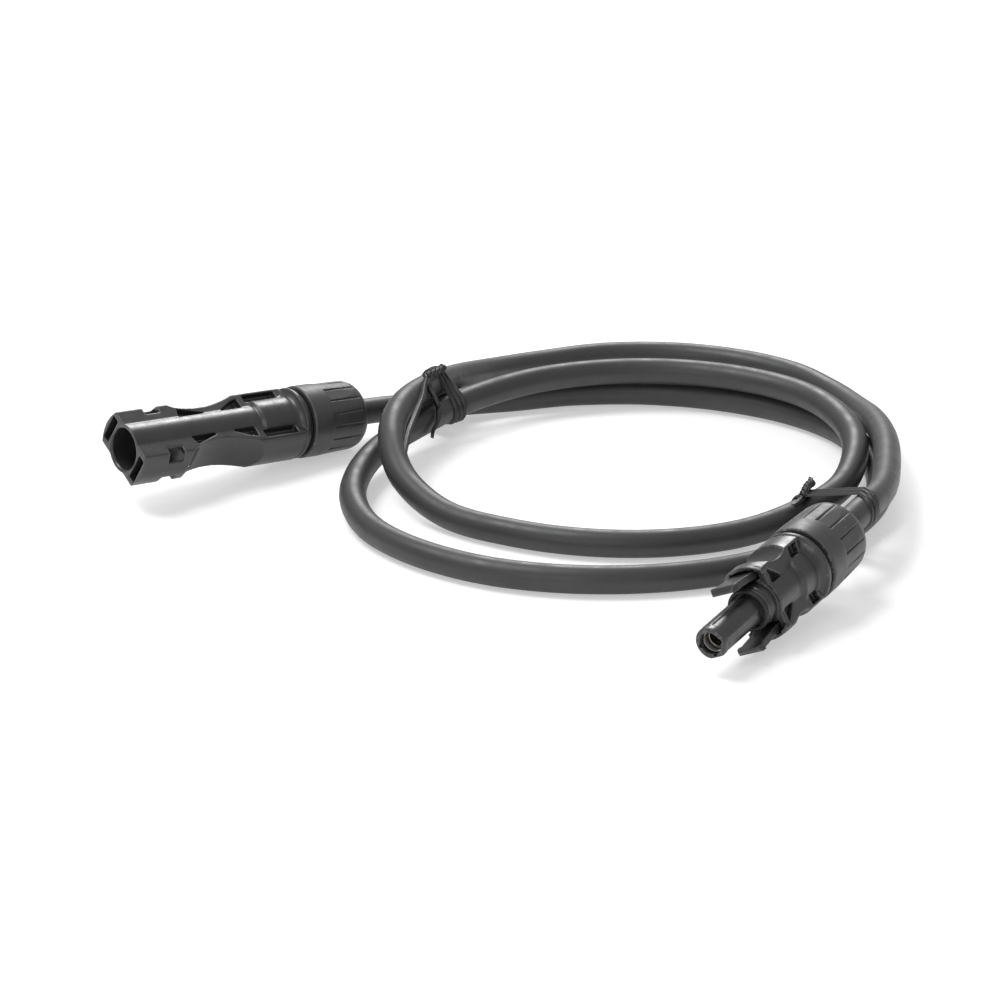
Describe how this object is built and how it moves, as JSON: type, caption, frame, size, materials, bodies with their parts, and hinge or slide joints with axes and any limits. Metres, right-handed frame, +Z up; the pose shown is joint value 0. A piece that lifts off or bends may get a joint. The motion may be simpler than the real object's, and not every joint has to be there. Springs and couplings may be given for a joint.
{
  "type": "solar cable connector lead",
  "caption": "Coiled single-core solar extension lead with a pin coupler and a latching socket coupler, gland nuts, seals, crimped contacts and wire ties.",
  "frame": {"origin": "under the middle of the two couplers' box, on the surface that the lead lies on", "axes": "+Z up from that surface; +Y from the socket coupler towards the pin coupler; +X to the side where the coil lies"},
  "size_m": [0.2077, 0.2075, 0.0249],
  "materials": {
    "housing": "fine-eroded moulded black plastic, slightly satin",
    "cap_nut": "satin moulded black plastic with shallow grip panels",
    "jacket": "extruded cross-linked jacket, satin black with light scuffs",
    "seal": "soft black rubber",
    "tie": "glossy black plastic ribbon over a wire",
    "contact": "tin-plated turned copper",
    "conductor": "stranded copper",
    "spring": "plated copper alloy strip"
  },
  "bodies": {
    "root": {"pin_housing": "housing", "pin_contact": "contact", "pin_conductor": "conductor", "pin_seal": "seal", "pin_sealing_ring": "seal", "socket_housing": "housing", "socket_contact": "contact", "contact_band": "spring", "socket_conductor": "conductor", "nose_o_ring": "seal", "socket_seal": "seal", "socket_sealing_ring": "seal", "lead_jacket": "jacket", "tie_left_band": "tie", "tie_left_twist": "tie", "tie_right_band": "tie", "tie_right_twist": "tie"},
    "pin_clamp": {"pin_collet": "housing"},
    "pin_nut": {"pin_cap_nut": "cap_nut"},
    "socket_clamp": {"socket_collet": "housing"},
    "socket_nut": {"socket_cap_nut": "cap_nut"},
    "upper_latch": {"latch_arm_upper": "housing"},
    "lower_latch": {"latch_arm_lower": "housing"}
  },
  "joints": [
    {"name": "pin_nut_travel", "type": "slide", "parent": "root", "child": "pin_clamp", "axis": [0.9768, 0.1899, -0.0993], "range_m": [0, 0.0031]},
    {"name": "pin_nut_turn", "type": "hinge", "parent": "pin_clamp", "child": "pin_nut", "pos_m": [-0.01033, 0.08197, 0.01074], "axis": [0.9768, 0.1899, -0.0993], "range_deg": [0, 720]},
    {"name": "socket_nut_travel", "type": "slide", "parent": "root", "child": "socket_clamp", "axis": [0.8791, 0.4655, 0.1028], "range_m": [0, 0.0031]},
    {"name": "socket_nut_turn", "type": "hinge", "parent": "socket_clamp", "child": "socket_nut", "pos_m": [0.04547, -0.07103, 0.01289], "axis": [0.8791, 0.4655, 0.1028], "range_deg": [0, 720]},
    {"name": "upper_latch_flex", "type": "hinge", "parent": "root", "child": "upper_latch", "pos_m": [0.02667, -0.07768, 0.01702], "axis": [0.3832, -0.8184, 0.4282], "range_deg": [0, 6], "stiffness_Nm_per_rad": 2.6},
    {"name": "lower_latch_flex", "type": "hinge", "parent": "root", "child": "lower_latch", "pos_m": [0.03052, -0.08226, 0.00481], "axis": [-0.3832, 0.8184, -0.4282], "range_deg": [0, 6], "stiffness_Nm_per_rad": 2.6}
  ],
  "couplings": [
    {"joint": "pin_nut_travel", "follows": "pin_nut_turn", "m_per_rad": 0.00023873},
    {"joint": "socket_nut_travel", "follows": "socket_nut_turn", "m_per_rad": 0.00023873}
  ]
}
